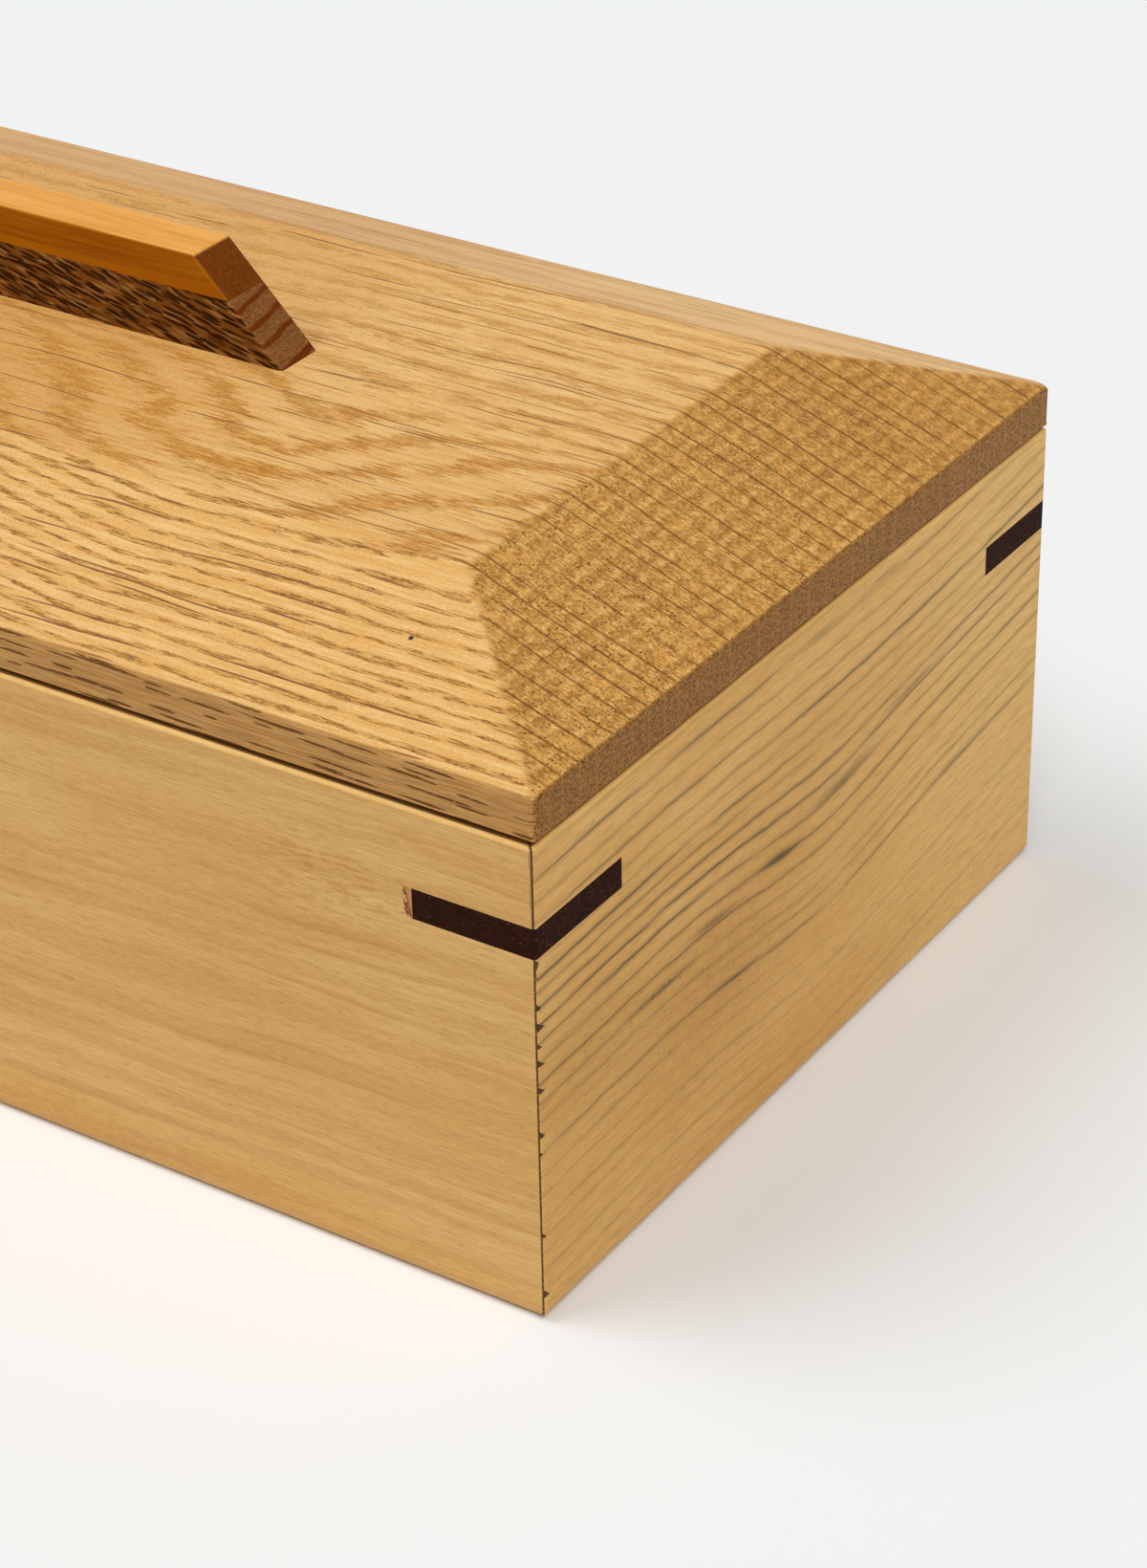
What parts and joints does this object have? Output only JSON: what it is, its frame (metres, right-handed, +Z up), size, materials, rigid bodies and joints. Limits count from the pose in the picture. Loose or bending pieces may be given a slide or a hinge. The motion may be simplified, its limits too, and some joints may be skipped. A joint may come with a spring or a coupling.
{
  "type": "keepsake box",
  "caption": "Wooden keepsake box with splined mitre corners, a lift-off lid bevelled on four sides and a laminated bar handle.",
  "frame": {"origin": "centre of the base, on the surface that the box stands on", "axes": "+X along the box's length, to the right seen from the front; +Y from the front wall to the back wall; +Z up"},
  "size_m": [0.3006, 0.15, 0.1161],
  "materials": {
    "wall_wood": "satin oil",
    "panel_wood": "sanded, unfinished",
    "spline_wood": "satin oil",
    "lid_oak": "satin oil",
    "handle_dark_wood": "satin oil",
    "handle_orange_wood": "satin oil",
    "screw_brass": "satin"
  },
  "bodies": {
    "box": {"front_wall": "wall_wood", "back_wall": "wall_wood", "left_end_wall": "wall_wood", "right_end_wall": "wall_wood", "bottom_panel": "panel_wood", "spline_front_left": "spline_wood", "spline_front_right": "spline_wood", "spline_back_left": "spline_wood", "spline_back_right": "spline_wood"},
    "lid": {"lid_panel": "lid_oak", "handle_base": "handle_dark_wood", "handle_cap": "handle_orange_wood", "handle_screw_left": "screw_brass", "handle_screw_right": "screw_brass"}
  },
  "joints": [
    {"name": "lid_lift", "type": "slide", "parent": "box", "child": "lid", "axis": [0, 0, 1], "range_m": [0, 0.16]}
  ]
}
